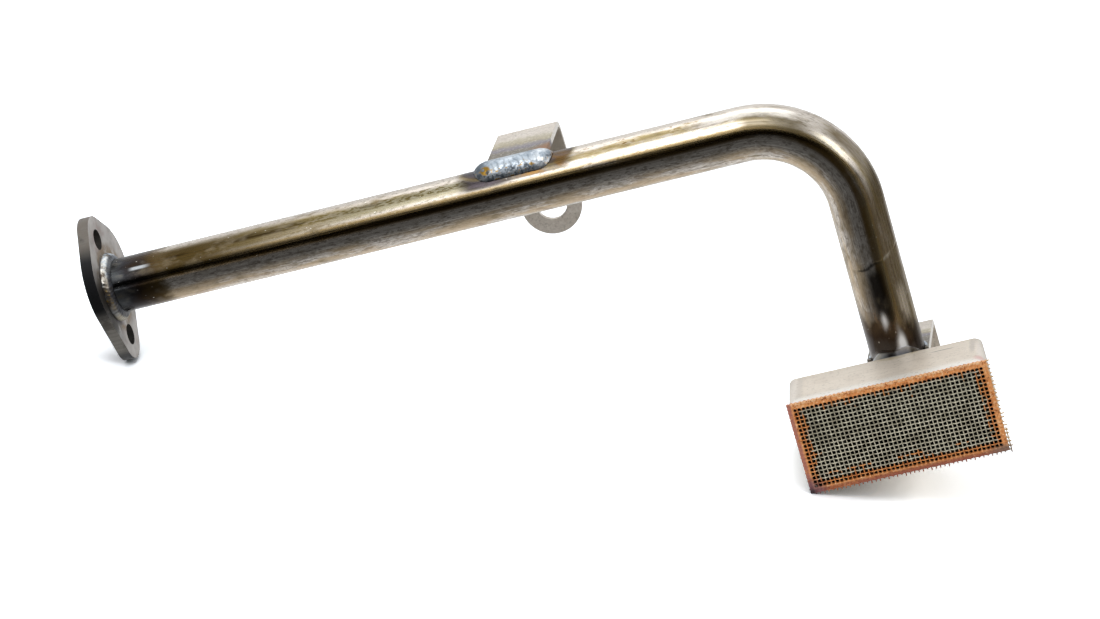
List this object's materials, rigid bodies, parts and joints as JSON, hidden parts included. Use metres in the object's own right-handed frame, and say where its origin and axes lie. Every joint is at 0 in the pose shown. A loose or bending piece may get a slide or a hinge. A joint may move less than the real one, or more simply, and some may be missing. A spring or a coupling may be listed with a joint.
{
  "type": "oil pickup tube",
  "caption": "Bent steel oil pickup tube with a bolted pump flange at one end, a screened sheet-metal box at the other, and folded stud brackets.",
  "frame": {"origin": "centre of the flange's pump face, on the axis of the long leg", "axes": "+X along the long leg away from the pump, -Z down the short leg to the box, -Y the way the screen faces; +Y towards the block that the stud tabs bolt to"},
  "size_m": [0.3452, 0.0852, 0.1865],
  "materials": {
    "flange_plate": "dull cut plate with dark edges",
    "mill_steel": "oiled mill-finish tube with heat tint",
    "weld_metal": "rippled bead",
    "bare_sheet": "bare sheet",
    "copper_braze": "brazed copper alloy",
    "wire_steel": "woven wire"
  },
  "bodies": {
    "root": {"flange": "flange_plate", "pickup_tube": "mill_steel", "flange_weld": "weld_metal", "middle_bracket": "bare_sheet", "middle_bracket_weld": "weld_metal", "rear_bracket": "bare_sheet", "rear_bracket_weld": "weld_metal", "pickup_box": "bare_sheet", "box_weld": "weld_metal", "braze_frame": "copper_braze", "screen": "wire_steel"}
  },
  "joints": []
}
